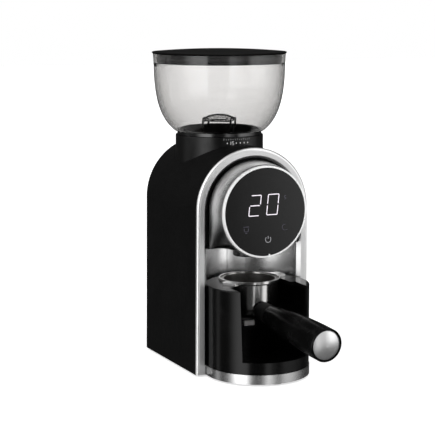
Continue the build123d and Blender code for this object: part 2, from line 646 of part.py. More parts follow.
def make_switch_plunger():
    """Sprung tab that tells the grinder that the cradle is in place."""
    half_w, half_h = PLUNGER_W / 2, PLUNGER_H / 2
    tab = block((PLUNGER_X - half_w, PLUNGER_X + half_w), (42.5, 60),
                (PLUNGER_Z - half_h, PLUNGER_Z + half_h))
    return fillet(tab.edges().filter_by(Axis.Z), 0.8)


def make_switch_body():
    case = block((PLUNGER_X - 10, PLUNGER_X + 10), (58, 70), (PLUNGER_Z - 6.5, PLUNGER_Z + 6.5))
    return case - switch_window(0.3)


# ---------------------------------------------------------------- base
def make_base_plate():
    plan = base_outline(BASE_R - 2.1, ARCH_Y + 10)
    rear_y = BACK_Y - COVER_T - 0.3
    middle = (ARCH_Y + FRAME_T + rear_y) / 2
    plan += Pos(0, middle) * Rectangle(2 * (FOOT_HW - WALL - 0.4), rear_y - ARCH_Y - FRAME_T)
    plate = Pos(0, 0, FOOT_H) * extrude(plan, BASE_TOP_Z - FOOT_H)
    for x, y in BASE_SCREWS:
        plate -= upright(SCREW_R + 0.1, FOOT_H - 1, BASE_TOP_Z + 1, x, y)
    for row in range(6):
        plate -= block((-2, 34), (86 + row * 6, 88.4 + row * 6), (0, 10))
    return plate


def make_base_screws():
    return screws(BASE_SCREWS, SCREW_R, BASE_TOP_Z - FOOT_H, 1.4, 4.0, FOOT_H)


def make_base_tray():
    """Black deck that the cradle stands on, and the floor of the bay."""
    plan = base_outline(BASE_R - 2.1, ARCH_Y)
    floor = Pos(0, ARCH_Y + 40) * Rectangle(2 * (FRAME_IN_HW - 0.2), 80)
    plan += Pos(0, BAY_Y) * Circle(BAY_R - 0.2) & floor
    tray = Pos(0, 0, BASE_TOP_Z + 0.1) * extrude(plan, RING_H - BASE_TOP_Z - 0.1)
    hollow = Pos(0, 0, BASE_TOP_Z - 1) * extrude(offset(plan, -2.5), RING_H - BASE_TOP_Z - 1)
    tray -= hollow
    for x, y in BASE_SCREWS[:2]:
        tray += upright(4, BASE_TOP_Z + 0.1, RING_H - 1, x, y)
        tray -= upright(1.5, BASE_TOP_Z - 1, BASE_TOP_Z + 4.2, x, y)
    return tray


def make_base_ring():
    """Silver band around the round base, ending on the arch frame."""
    band = extrude(base_outline(BASE_R, ARCH_Y), RING_H - SKIN_Z)
    band -= Pos(0, 0, -1) * extrude(base_outline(BASE_R - 2.0, ARCH_Y + 5), RING_H + 2)
    return Pos(0, 0, SKIN_Z) * band


def make_feet():
    group = []
    for x, y in FEET:
        foot = upright(8.5, 0, FOOT_H, x, y)
        group.append(chamfer(foot.faces().sort_by(Axis.Z)[0].edges(), 0.5))
    return Part() + group


# ---------------------------------------------------------------- hopper and lid
def bowl_section():
    """Half section of the bowl: a straight rim that curves in to a flat floor."""
    in_rim, floor_z = BOWL_R - BOWL_WALL, BOWL_Z + BOWL_FLOOR
    outer = Line((BOWL_R + 0.5, BOWL_TOP_Z), (BOWL_R, BOWL_KNEE_Z))
    outer += Bezier((BOWL_R, BOWL_KNEE_Z), (BOWL_R, 258), (58.3, 237), (43.8, BOWL_Z + 0.3))
    inner = Bezier((41.4, floor_z), (56.1, 239.4), (in_rim, 259.3), (in_rim, BOWL_KNEE_Z))
    inner += Line((in_rim, BOWL_KNEE_Z), (in_rim + 0.5, BOWL_TOP_Z))
    edges = outer + inner + Line((in_rim + 0.5, BOWL_TOP_Z), (BOWL_R + 0.5, BOWL_TOP_Z))
    edges += Line((43.8, BOWL_Z + 0.3), (RING_R, BOWL_Z))
    edges += Line((RING_R, BOWL_Z), (NECK_R + 0.05, BOWL_Z))
    edges += Line((NECK_R + 0.05, BOWL_Z), (NECK_R + 0.05, floor_z))
    edges += Line((NECK_R + 0.05, floor_z), (41.4, floor_z))
    return make_face(Plane.XZ * edges)


def make_hopper_bowl():
    return Pos(0, AXIS_Y, 0) * revolve(bowl_section(), Axis.Z)


def make_hopper_neck():
    """Black bayonet ring through the bowl's floor, with a flange that clamps it."""
    floor_z = BOWL_Z + BOWL_FLOOR + 0.03
    outline = [
        (THROAT_R, NECK_Z), (NECK_R, NECK_Z), (NECK_R, floor_z), (FLANGE_R, floor_z),
        (FLANGE_R, floor_z + 0.5), (FLANGE_R - 1, floor_z + 1.1), (THROAT_R, floor_z + 0.6),
    ]
    neck = turned(outline, 0, AXIS_Y)
    for angle in (35, 155, 275):
        x, y = polar(NECK_R, angle, 0, AXIS_Y)
        neck -= upright(2.2, NECK_Z - 1, NECK_Z + 2.2, x, y)
    return neck


def make_bean_guard():
    """Clear cover over the throat: a low dome on a square plate."""
    dome_r, rise, skin = 16.4, 4.3, 1.4
    ball_r = (dome_r ** 2 + rise ** 2) / (2 * rise)
    plate_top = GUARD_Z + 0.9
    centre_z = plate_top + rise - ball_r
    cap = Pos(0, AXIS_Y, centre_z) * (Sphere(ball_r) - Sphere(ball_r - skin))
    cap &= upright(dome_r + 5, plate_top - 0.4, plate_top + 20, 0, AXIS_Y)
    plate = Pos(0, AXIS_Y, GUARD_Z) * Rot(0, 0, GUARD_TURN)
    square = Rectangle(2 * GUARD_HW - 0.4, 2 * GUARD_HW - 0.4) - Circle(dome_r - 3.5)
    plate = plate * extrude(square, 0.9)
    return plate + cap


def make_guard_frame():
    """Square stand that carries the cover: posts, a top frame, a foot ring and four arms."""
    post, low, high = 1.8, 219.0, GUARD_Z - 0.03
    inner_w = 2 * (GUARD_HW - post)
    square = Rectangle(2 * GUARD_HW, 2 * GUARD_HW) - Rectangle(inner_w, inner_w)
    frame = Pos(0, 0, high - 1.2) * extrude(square, 1.2)
    frame += tube(GUARD_HW * sqrt(2) + 0.5, GUARD_HW + 2.5, low, low + 1.6)
    post_at = GUARD_HW - post / 2
    arm_x = (GUARD_HW + 4, THROAT_R - 0.05)
    for quarter in range(4):
        turn = Rot(0, 0, quarter * 90)
        frame += turn * Pos(post_at, post_at, (low + high) / 2) * Box(post, post, high - low)
        frame += turn * Rot(0, 0, 45) * block(arm_x, (-1.5, 1.5), (low, low + 1.6))
    return Pos(0, AXIS_Y, 0) * Rot(0, 0, GUARD_TURN) * frame


def make_lid():
    """Crowned top with a thin flared rim, and a skirt that plugs the bowl."""
    seat, skirt_low, skin = BOWL_TOP_Z + 0.2, 291.2, 2.0
    rim_r, inner_r = LID_R - 0.8, SKIRT_R - skin
    crown = ThreePointArc((0, TOTAL_H), (rim_r / 2, TOTAL_H - 0.62), (rim_r, LID_RIM_Z + 0.5))
    under = Polyline(
        (rim_r, LID_RIM_Z + 0.5), (LID_R, LID_RIM_Z), (LID_R - 0.4, LID_RIM_Z - 0.6), (64.9, seat),
        (SKIRT_R, seat), (SKIRT_R, skirt_low + 0.5), (SKIRT_R - 0.5, skirt_low), (inner_r, skirt_low),
        (inner_r, seat - 0.6), (inner_r - 1, seat + 0.2), (0, TOTAL_H - skin - 0.4), (0, TOTAL_H),
    )
    return Pos(0, AXIS_Y, 0) * revolve(make_face(Plane.XZ * (crown + under)), Axis.Z)


def make_lid_gasket():
    """Soft ring let into the lid's skirt."""
    low_z = BOWL_KNEE_Z + 3
    return tube(SKIRT_R + 0.7, SKIRT_R + 0.02, low_z, low_z + 2.4, 0, AXIS_Y)


# ---------------------------------------------------------------- cradle
def make_cradle():
    """Open-fronted holder: round wall, forked deck for the portafilter's ears, low sill."""
    inner_r, deck_t, floor_t = CRADLE_R - CRADLE_WALL, 3.5, 2.5
    cup = upright(CRADLE_R, CRADLE_Z, CRADLE_TOP_Z)
    cup = fillet(cup.faces().sort_by(Axis.Z)[-1].edges(), 1.0)
    cup -= upright(inner_r, CRADLE_Z + floor_t, CRADLE_TOP_Z - deck_t)
    deck_z = (CRADLE_TOP_Z - deck_t - 1, CRADLE_TOP_Z + 1)
    cup -= upright(NOTCH_R, *deck_z, 0, PF_Y - 1)
    cup -= block((-NOTCH_R, NOTCH_R), (-60, PF_Y - 1), deck_z)
    low_hw, top_hw = SLOT_HW
    slot = Polyline((-low_hw, SILL_Z), (low_hw, SILL_Z), (top_hw, CRADLE_TOP_Z + 1),
                    (-top_hw, CRADLE_TOP_Z + 1), close=True)
    cup -= solid_along_y(make_face(slot), -60, -10)
    return cup - switch_window(PLUNGER_GAP)


# ---------------------------------------------------------------- portafilter
def make_portafilter_body():
    """Turned steel cup with a rolled rim, two ears and a boss for the handle."""
    low_r, curve_z, floor_z = 15.0, 71.0, 57.0
    bowl = Bezier((low_r, PF_BOTTOM_Z), (PF_BODY_R - 5, PF_BOTTOM_Z), (PF_BODY_R, curve_z - 9),
                  (PF_BODY_R, curve_z))
    side = Polyline(
        (PF_BODY_R, curve_z), (PF_BODY_R, EAR_Z[0] - 1.6), (PF_RIM_R, EAR_Z[0]), (PF_RIM_R, PF_TOP_Z),
        (28.1, PF_TOP_Z), (28.1, 88.4), (25.8, 88.4), (25.8, 67.5), (19, floor_z), (0, floor_z),
        (0, PF_BOTTOM_Z), (low_r, PF_BOTTOM_Z),
    )
    cup = Pos(0, PF_Y, 0) * revolve(make_face(Plane.XZ * (bowl + side)), Axis.Z)
    for angle in EAR_ANGLES:
        turn = Pos(0, PF_Y, 0) * Rot(0, 0, -90 + angle)
        ear = turn * block((PF_RIM_R - 1.2, PF_RIM_R + 8.7), (-7.5, 7.5), EAR_Z)
        cup += fillet(ear.edges().filter_by(Axis.Z), 1.5)
    boss = handle_piece([(0, 7.0), (3, 7.0)], 0)
    boss -= upright(24.5, 50, 90, 0, PF_Y)
    return cup + boss


def handle_frame(distance):
    """Plane across the handle's axis at a distance from its start."""
    drop = radians(HANDLE_DROP)
    origin = (0, HANDLE_START_Y - distance * cos(drop), HANDLE_START_Z - distance * sin(drop))
    return Plane(origin=origin, x_dir=(1, 0, 0), z_dir=(0, -cos(drop), -sin(drop)))


def handle_piece(stations, start):
    """A round piece on the handle's axis: stations are (distance from start, radius)."""
    outline = [(radius, distance) for distance, radius in stations]
    outline = [(0, stations[0][0])] + outline + [(0, stations[-1][0])]
    section = make_face(Plane.XZ * Polyline(*outline, close=True))
    return handle_frame(start) * revolve(section, Axis.Z)


def make_handle_ferrule():
    stations = [(0, 8.0), (1, 8.8), (16.5, 9.2), (18, 8.8)]
    return handle_piece(stations, GRIP_START - 18.1)


def make_handle_grip():
    """Moulded grip: slim at the ferrule, full in the palm."""
    profile = ThreePointArc((9.2, 0), (13.0, GRIP_LEN * 0.36), (GRIP_R, GRIP_LEN))
    profile += Line((GRIP_R, GRIP_LEN), (0, GRIP_LEN)) + Line((0, GRIP_LEN), (0, 0))
    section = make_face(Plane.XZ * (profile + Line((0, 0), (9.2, 0))))
    return handle_frame(GRIP_START) * revolve(section, Axis.Z)


def make_handle_ring():
    """Ring that closes the grip and holds the cap."""
    ring = extrude(Circle(GRIP_R), RING_LEN)
    ring = chamfer(ring.faces().sort_by(Axis.Z)[-1].edges(), 0.8)
    ring -= Cylinder(CAP_R + 0.1, 3 * RING_LEN)
    return handle_frame(GRIP_START + GRIP_LEN) * ring


def make_handle_cap():
    """Domed metal cap set into the end of the grip."""
    rim, rise = 2.9, 2.6
    ball_r = (CAP_R ** 2 + rise ** 2) / (2 * rise)
    disc = extrude(Circle(CAP_R), rim)
    ball = Pos(0, 0, rim + rise - ball_r) * Sphere(ball_r)
    dome = ball & Pos(0, 0, rim + 5) * Cylinder(CAP_R, 10)
    return handle_frame(HANDLE_LEN - rise - rim) * (disc + dome)


def make_filter_basket():
    outline = [
        (0, 68.0), (22.6, 68.0), (25.4, 70.8), (25.4, 88.6), (27.8, 88.6), (27.8, 89.4),
        (24.7, 89.4), (24.7, 71.1), (22.3, 68.9), (0, 68.9),
    ]
    return turned(outline, 0, PF_Y)


# ---------------------------------------------------------------- build
MAKERS = {
    "body_shell": make_body_shell, "rear_cover": make_rear_cover, "cover_screws": make_cover_screws,
    "cord_gland": make_cord_gland, "front_frame": make_front_frame, "frame_trim": make_frame_trim,
    "bay_liner": make_bay_liner, "bay_ceiling": make_bay_ceiling, "head_block": make_head_block,
    "display_bezel": make_display_bezel, "display_glass": make_display_glass,
    "led_display": make_led_display, "display_board": make_display_board, "spout": make_spout,
    "chute": make_chute, "collar": make_collar, "chamber_housing": make_chamber_housing,
    "adjust_ring": make_adjust_ring, "burr_carrier": make_burr_carrier,
    "carrier_screws": make_carrier_screws, "upper_burr": make_upper_burr,
    "lower_burr": make_lower_burr, "burr_nut": make_burr_nut, "impeller": make_impeller,
    "drive_shaft": make_drive_shaft, "gearbox_base": make_gearbox_base,
    "gearbox_cover": make_gearbox_cover, "gearbox_screws": make_gearbox_screws,
    "output_gear": make_output_gear, "idler_gear": make_idler_gear, "idler_axle": make_idler_axle,
    "motor_pinion": make_motor_pinion, "motor_shaft": make_motor_shaft, "motor_fan": make_motor_fan,
    "motor_can": make_motor_can, "main_board": make_main_board, "board_parts": make_board_parts,
    "power_module": make_power_module, "switch_plunger": make_switch_plunger,
    "switch_body": make_switch_body, "base_plate": make_base_plate, "base_screws": make_base_screws,
    "base_tray": make_base_tray, "base_ring": make_base_ring, "feet": make_feet,
    "hopper_bowl": make_hopper_bowl, "hopper_neck": make_hopper_neck, "bean_guard": make_bean_guard,
    "guard_frame": make_guard_frame, "lid": make_lid, "lid_gasket": make_lid_gasket,
    "cradle": make_cradle,
    "portafilter_body": make_portafilter_body, "filter_basket": make_filter_basket,
    "handle_ferrule": make_handle_ferrule, "handle_grip": make_handle_grip,
    "handle_ring": make_handle_ring, "handle_cap": make_handle_cap,
}

for name, make in MAKERS.items():
    parts[name] = make()
parts["lower_bearing"] = make_bearing(GEARBOX_Z + 2)
parts["upper_bearing"] = make_bearing(CHAMBER_Z - 3.6)

middle_y = (HANDLE_TIP_Y + AXIS_Y + LID_R) / 2
os.makedirs("parts", exist_ok=True)
for name, shape in parts.items():
    export_step(Pos(0, -middle_y, 0) * shape, f"parts/{name}.step")
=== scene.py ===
import json
import math

import bmesh
import bpy
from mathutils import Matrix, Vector


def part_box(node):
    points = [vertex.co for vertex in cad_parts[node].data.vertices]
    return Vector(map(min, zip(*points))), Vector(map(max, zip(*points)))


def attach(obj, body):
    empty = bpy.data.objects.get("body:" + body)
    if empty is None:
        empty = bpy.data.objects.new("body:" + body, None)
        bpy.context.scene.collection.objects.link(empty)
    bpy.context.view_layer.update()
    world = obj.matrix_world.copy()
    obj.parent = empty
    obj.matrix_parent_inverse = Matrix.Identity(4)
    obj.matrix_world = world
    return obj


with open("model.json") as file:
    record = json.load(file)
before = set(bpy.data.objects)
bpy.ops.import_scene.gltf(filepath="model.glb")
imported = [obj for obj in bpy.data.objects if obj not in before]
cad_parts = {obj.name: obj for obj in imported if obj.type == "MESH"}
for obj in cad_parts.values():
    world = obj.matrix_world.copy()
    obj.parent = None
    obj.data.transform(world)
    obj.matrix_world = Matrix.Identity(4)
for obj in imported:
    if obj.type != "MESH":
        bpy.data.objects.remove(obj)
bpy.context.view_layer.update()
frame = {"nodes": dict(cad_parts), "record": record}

MM = 0.001
scene = bpy.context.scene
scene.view_settings.view_transform = "Standard"

# ---------------------------------------------------------------- camera
CAMERA_AT = Vector((-0.59937, -1.20208, 0.35388))
CAMERA_YAW = math.radians(25.03)         # from +Y towards +X
CAMERA_PITCH = math.radians(-8.67)
SENSOR = 36.0                            # mm, like the lens
LENS = 119.24
FARTHEST = 50.0


def make_camera():
    data = bpy.data.cameras.new("camera")
    data.sensor_width = SENSOR
    data.lens = LENS
    data.clip_end = FARTHEST
    camera = bpy.data.objects.new("camera", data)
    level = math.cos(CAMERA_PITCH)
    x, y = math.sin(CAMERA_YAW) * level, math.cos(CAMERA_YAW) * level
    forward = Vector((x, y, math.sin(CAMERA_PITCH)))
    camera.location = CAMERA_AT
    camera.rotation_euler = forward.to_track_quat("-Z", "Y").to_euler()
    scene.collection.objects.link(camera)
    scene.camera = camera


# ---------------------------------------------------------------- node trees
ROUGHNESS_SPREAD = 0.05          # how far a metal's roughness goes either way along its lines
TONE_RANGE = (0.3, 0.7)          # noise values between which a surface goes from one tone to the other
WORN_BEVEL = (0.985, 0.86)       # cosine of the turn at an edge: untouched and fully worn
CORNER_SIDE = (0.037, 0.042)     # metres from the middle where the painted shade of the head's lower corners begins and is darkest
CORNER_LEVEL = (0.134, 0.158)    # height where they are darkest and where they end
CORNER_SHADE_TONE = 0.12               # share of the metal's colour left there by the painted shade
WALL_CLOSE = 0.5                 # ambient occlusion where a surface counts as walled in and gets the painted gap shade in full
WALL_FAR = 0.88                  # and where it counts as open
GAP_SHADE_TONE = 0.05                  # share of the metal's colour left in a gap by the painted shade
CLEAR_IOR = 1.49                 # acrylic
CLEAR_ROUGHNESS = 0.012
BOARD_CELLS = 260.0              # per metre, between the tracks of a circuit board


class Tree:
    """Adds and links nodes in one node tree."""

    def __init__(self, tree):
        self.tree = tree

    def add(self, kind, inputs=None, **settings):
        node = self.tree.nodes.new(kind)
        for key, value in settings.items():
            setattr(node, key, value)
        for key, value in (inputs or {}).items():
            if isinstance(value, bpy.types.NodeSocket):
                self.tree.links.new(value, node.inputs[key])
            else:
                node.inputs[key].default_value = value
        return node

    def math(self, operation, a, b=0.0):
        return self.add("ShaderNodeMath", {0: a, 1: b}, operation=operation).outputs[0]

    def product(self, first, *others):
        for value in others:
            first = self.math("MULTIPLY", first, value)
        return first

    def ramp(self, value, start, end, low=0.0, high=1.0):
        """Smooth step from low at start to high at end."""
        node = self.add("ShaderNodeMapRange", {0: value, 1: start, 2: end, 3: low, 4: high},
                        interpolation_type="SMOOTHSTEP")
        return node.outputs[0]

    def mix(self, factor, a, b):
        node = self.add("ShaderNodeMix", {0: factor, 6: a, 7: b}, data_type="RGBA")
        return node.outputs[2]


class Shade(Tree):
    """A procedural material around one Principled shader, laid out in the part's own metres."""

    def __init__(self, name, **sockets):
        self.material = bpy.data.materials.new(name)
        self.material.use_nodes = True
        super().__init__(self.material.node_tree)
        self.shader = self.tree.nodes["Principled BSDF"]
        self.place = self.add("ShaderNodeTexCoord").outputs["Object"]
        for socket, value in sockets.items():
            self.shader.inputs[socket.replace("_", " ")].default_value = value

    def link(self, socket, value):
        self.tree.links.new(value, self.shader.inputs[socket])

    def noise(self, size, detail=3.0, stretch=(1, 1, 1), coarse=0.5):
        """Noise with features of that size in mm; a stretch above 1 makes them finer that way."""
        mapped = self.add("ShaderNodeMapping", {"Vector": self.place, "Scale": stretch}).outputs[0]
        inputs = {"Vector": mapped, "Scale": 1 / (size * MM), "Detail": detail, "Roughness": coarse}
        return self.add("ShaderNodeTexNoise", inputs).outputs[0]

    def bump(self, height, depth):
        inputs = {"Height": height, "Distance": depth * MM, "Strength": 1.0}
        return self.add("ShaderNodeBump", inputs).outputs[0]

    def edges(self, radius):
        """1 on convex and concave edges within that many mm, broken up by noise, 0 elsewhere."""
        soft = self.add("ShaderNodeBevel", {"Radius": radius * MM}, samples=4).outputs[0]
        hard = self.add("ShaderNodeNewGeometry").outputs["Normal"]
        turn = self.add("ShaderNodeVectorMath", {0: soft, 1: hard}, operation="DOT_PRODUCT")
        worn = self.ramp(turn.outputs["Value"], *WORN_BEVEL)
        return self.math("MULTIPLY", worn, self.ramp(self.noise(2.2, 4), 0.35, 0.6))

    def gap_shading_mask(self, reach):
        """Mask of painted shade in gaps: 0 where a wall stands close by, 1 where the surface is open for
        that many mm.
        """
        occlusion = self.add("ShaderNodeAmbientOcclusion", {"Distance": reach * MM}, samples=8)
        return self.ramp(occlusion.outputs["AO"], WALL_CLOSE, WALL_FAR)

    def corner_shading_mask(self):
        """CORNER_SHADE_TONE in the head's two lower corners, which get painted shade, 1 elsewhere."""
        across, _, up = self.add("ShaderNodeSeparateXYZ", {0: self.place}).outputs
        beside = self.ramp(self.math("ABSOLUTE", across), *CORNER_SIDE)
        above = self.ramp(up, *CORNER_LEVEL)
        outside = self.math("MAXIMUM", above, self.math("SUBTRACT", 1.0, beside))
        return self.math("ADD", self.math("MULTIPLY", outside, 1 - CORNER_SHADE_TONE), CORNER_SHADE_TONE)


def rgb(value, warm=0.0):
    return (value * (1 + warm), value, value * (1 - warm), 1.0)


def moulded(name, grey, roughness, grain=0.35, depth=0.006, wear=0.0, specular=0.5):
    """Spark-eroded plastic: fine grain, uneven sheen and slightly polished edges."""
    shade = Shade(name, Specular_IOR_Level=specular)
    tone = shade.ramp(shade.noise(28, 3), *TONE_RANGE)
    colour = shade.mix(tone, rgb(grey * 0.86), rgb(grey * 1.14))
    rough = shade.ramp(shade.noise(7, 5, coarse=0.62), 0.25, 0.75, roughness - 0.05, roughness + 0.06)
    if wear:
        worn = shade.edges(0.5)
        colour = shade.mix(shade.math("MULTIPLY", worn, wear), colour, rgb(grey * 3 + 0.02))
        rough = shade.math("SUBTRACT", rough, shade.math("MULTIPLY", worn, 0.10))
    shade.link("Base Color", colour)
    shade.link("Roughness", rough)
    shade.link("Normal", shade.bump(shade.noise(grain, 2), depth))
    return shade.material


def glossy(name, grey, roughness, specular=0.5):
    """Polished plastic with faint hairlines, a little orange peel and finger haze."""
    shade = Shade(name, Specular_IOR_Level=specular)
    haze = shade.ramp(shade.noise(16, 4, coarse=0.6), 0.45, 0.75)
    hair = shade.ramp(shade.noise(1.2, 2, stretch=(1, 1, 18)), 0.6, 0.8)
    rough = shade.math("ADD", shade.math("MULTIPLY", haze, 0.05), shade.math("MULTIPLY", hair, 0.05))
    shade.link("Roughness", shade.math("ADD", rough, roughness))
    shade.link("Base Color", shade.mix(haze, rgb(grey * 0.9), rgb(grey * 1.3 + 0.0006)))
    shade.link("Normal", shade.bump(shade.noise(5, 2), 0.004))
    return shade.material


def metal(name, grey, roughness, stretch, line=0.5, depth=0.002, warm=0.0, along=0.0, wear=0.0,
          colour_spread=0.08, metallic=1.0, reach=0.0, shade_corners=False):
    """Brushed or satin metal: stretch sets the direction of the fine brush lines.

    A reach paints shade into its colour within that many mm of a wall, and shade_corners also into the
    head's lower corners.
    """
    shade = Shade(name, Metallic=metallic, Anisotropic=along)
    lines = shade.noise(line, 3, stretch=stretch, coarse=0.65)
    cloud = shade.noise(22, 3)
    streak = shade.math("ADD", shade.math("MULTIPLY", lines, 0.7), shade.math("MULTIPLY", cloud, 0.3))
    tone = shade.ramp(streak, *TONE_RANGE)
    colour = shade.mix(tone, rgb(grey * (1 - colour_spread), warm), rgb(grey * (1 + colour_spread), warm))
    rough = shade.ramp(streak, *TONE_RANGE, roughness + ROUGHNESS_SPREAD, roughness - ROUGHNESS_SPREAD)
    if wear:
        worn = shade.math("MULTIPLY", shade.edges(0.4), wear)
        colour = shade.mix(worn, colour, rgb(min(1.0, grey * 1.3), warm))
        rough = shade.math("SUBTRACT", rough, shade.math("MULTIPLY", worn, 0.12))
    # Painted shade: the colour darkens towards GAP_SHADE_TONE near walls, and in the head's lower corners
    if reach:
        unshaded = shade.gap_shading_mask(reach)
        if shade_corners:
            unshaded = shade.math("MULTIPLY", unshaded, shade.corner_shading_mask())
        colour = shade.mix(unshaded, rgb(grey * GAP_SHADE_TONE, warm), colour)
    shade.link("Base Color", colour)
    shade.link("Roughness", rough)
    shade.link("Normal", shade.bump(lines, depth))
    return shade.material


def clear(name, tint, absorbed=0.0):
    """Moulded clear plastic with flow waves, haze and hairlines; absorbed is its density per metre."""
    shade = Shade(name, Transmission_Weight=1.0, IOR=CLEAR_IOR, Specular_IOR_Level=0.5)
    if absorbed:
        body = shade.add("ShaderNodeVolumeAbsorption", {"Color": rgb(0.3, 0.02), "Density": absorbed})
        shade.tree.links.new(body.outputs[0], shade.tree.nodes["Material Output"].inputs["Volume"])
    haze = shade.ramp(shade.noise(9, 5, coarse=0.6), 0.5, 0.8)
    hair = shade.ramp(shade.noise(0.9, 2, stretch=(1, 1, 22)), 0.66, 0.84)
    dirt = shade.math("ADD", shade.math("MULTIPLY", haze, 0.02), shade.math("MULTIPLY", hair, 0.04))
    shade.link("Roughness", shade.math("ADD", dirt, CLEAR_ROUGHNESS))
    shade.link("Base Color", shade.mix(haze, rgb(tint, 0.004), rgb(tint * 0.985, 0.008)))
    shade.link("Normal", shade.bump(shade.noise(26, 1), 0.012))
    return shade.material


def rubber(name, grey, roughness=0.75):
    """Soft rubber: matt, with a little sheen and pale dust."""
    shade = Shade(name, Specular_IOR_Level=0.3, Sheen_Weight=0.15, Sheen_Roughness=0.5)
    dust = shade.ramp(shade.noise(3, 5, coarse=0.65), 0.45, 0.8)
    shade.link("Base Color", shade.mix(dust, rgb(grey), rgb(grey * 2.2 + 0.01)))
    shade.link("Roughness", shade.ramp(dust, 0.0, 1.0, roughness, roughness + 0.15))
    shade.link("Normal", shade.bump(shade.noise(0.5, 3), 0.02))
    return shade.material


def circuit_board(name):
    """Green solder mask with copper tracks showing through as a lighter tone."""
    shade = Shade(name, Specular_IOR_Level=0.5)
    cells = shade.add("ShaderNodeTexVoronoi", {"Vector": shade.place, "Scale": BOARD_CELLS},
                      distance="MANHATTAN").outputs["Distance"]
    track = shade.ramp(cells, 0.42, 0.5)
    shade.link("Base Color", shade.mix(track, (0.006, 0.05, 0.018, 1), (0.02, 0.13, 0.05, 1)))
    shade.link("Roughness", shade.ramp(shade.noise(2, 3), *TONE_RANGE, 0.3, 0.45))
    shade.link("Normal", shade.bump(track, 0.02))
    return shade.material


def coloured(name, low, high, roughness, metallic=0.0):
    """A tinted material with mottled colour, sheen and fine grain."""
    shade = Shade(name, Metallic=metallic)
    mottle = shade.ramp(shade.noise(3, 5, coarse=0.6), *TONE_RANGE)
    shade.link("Base Color", shade.mix(mottle, low, high))
    shade.link("Roughness", shade.ramp(mottle, 0.0, 1.0, roughness - 0.06, roughness + 0.08))
    shade.link("Normal", shade.bump(shade.noise(0.4, 3), 0.005))
    return shade.material


def lit(name, colour, strength):
    """Back-lit marks, and printed marks that get a painted glow: slightly uneven, as light through a mask
    is.
    """
    shade = Shade(name, Roughness=0.35, Emission_Strength=strength)
    uneven = shade.ramp(shade.noise(1.5, 2), *TONE_RANGE)
    dim = tuple(c * 0.86 for c in colour[:3]) + (1.0,)
    mixed = shade.mix(uneven, dim, colour)
    shade.link("Base Color", mixed)
    shade.link("Emission Color", mixed)
    return shade.material


EVEN = (1, 1, 1)     # no brush direction

# By the record's slot names: grey level, roughness, then what sets the finish apart.
MATERIALS = {
    "black_shell": moulded("black_shell", 0.0014, 0.5, wear=0.35, specular=0.18),
    "black_collar": moulded("black_collar", 0.002, 0.34, grain=0.3, depth=0.004, wear=0.35, specular=0.35),
    "black_trim": moulded("black_trim", 0.0025, 0.62, specular=0.15),
    "black_inner": moulded("black_inner", 0.02, 0.55, grain=0.5, depth=0.01, specular=0.35),
    "lid_black": moulded("lid_black", 0.0012, 0.42, grain=0.4, wear=0.3, specular=0.15),
    # painted shade in gaps through reach
    "satin_silver": metal("satin_silver", 0.83, 0.38, EVEN, line=0.3, depth=0.003, wear=0.25,
                          colour_spread=0.04, reach=2.5),
    # painted shade in gaps through reach, and in the head's lower corners
    "brushed_silver": metal("brushed_silver", 0.82, 0.24, (1, 26, 1), line=2.2, along=0.2, reach=11,
                            shade_corners=True),
    # painted shade in gaps through reach
    "chrome_bezel": metal("chrome_bezel", 0.95, 0.3, EVEN, line=14, depth=0.0003, colour_spread=0.02,
                          metallic=0.5, reach=3.5),
    "bay_steel": metal("bay_steel", 0.88, 0.29, (1, 1, 40), line=3.0, depth=0.001, along=0.2),
    "base_silver": metal("base_silver", 0.74, 0.27, (1, 1, 40), line=3.0, depth=0.002, along=0.3, wear=0.4),
    "screw_steel": metal("screw_steel", 0.5, 0.3, EVEN, line=0.6, depth=0.004, warm=0.02, wear=0.4),
    "burr_steel": metal("burr_steel", 0.4, 0.34, (1, 1, 8), line=1.0, depth=0.005, wear=0.5),
    "motor_steel": metal("motor_steel", 0.45, 0.33, (1, 1, 20), line=2.0, depth=0.003, warm=0.01),
    "tab_metal": metal("tab_metal", 0.9, 0.45, (12, 1, 1), line=1.0, depth=0.004, warm=0.02, wear=0.4,
                       metallic=0.5),
    "polished_steel": metal("polished_steel", 0.62, 0.18, (1, 1, 30), line=2.5, depth=0.0012, warm=0.008,
                            wear=0.3),
    "basket_steel": metal("basket_steel", 0.3, 0.3, (1, 1, 30), line=1.6, depth=0.003, warm=0.03, wear=0.4),
    "cap_silver": metal("cap_silver", 0.76, 0.36, EVEN, line=0.35, depth=0.002, wear=0.5,
                        colour_spread=0.05, metallic=0.92),
    "display_glass": glossy("display_glass", 0.002, 0.03),
    "ring_gloss": glossy("ring_gloss", 0.004, 0.16, specular=0.8),
    "black_gloss": glossy("black_gloss", 0.0022, 0.16, specular=0.3),
    "cradle_gloss": glossy("cradle_gloss", 0.0018, 0.2, specular=0.24),
    "handle_black": glossy("handle_black", 0.0014, 0.24, specular=0.1),
    "led_module": moulded("led_module", 0.05, 0.4),
    "circuit_board": circuit_board("circuit_board"),
    "electronics": coloured("electronics", (0.012, 0.012, 0.014, 1), (0.03, 0.03, 0.034, 1), 0.45),
    "gear_nylon": coloured("gear_nylon", (0.62, 0.58, 0.48, 1), (0.75, 0.72, 0.63, 1), 0.42),
    "gear_brass": coloured("gear_brass", (0.6, 0.42, 0.16, 1), (0.78, 0.58, 0.27, 1), 0.28, metallic=1.0),
    "black_rubber": rubber("black_rubber", 0.012),
    "gasket_clear": rubber("gasket_clear", 0.012, 0.5),
    "smoked_clear": clear("smoked_clear", 0.985, absorbed=240.0),
    "guard_clear": clear("guard_clear", 0.97),
    # guard_smoked: a dark glossy finish on the guard's clear frame, a painted reflection of the dark its
    # clear edges pick up
    "guard_smoked": glossy("guard_smoked", 0.006, 0.2, specular=0.3),
}

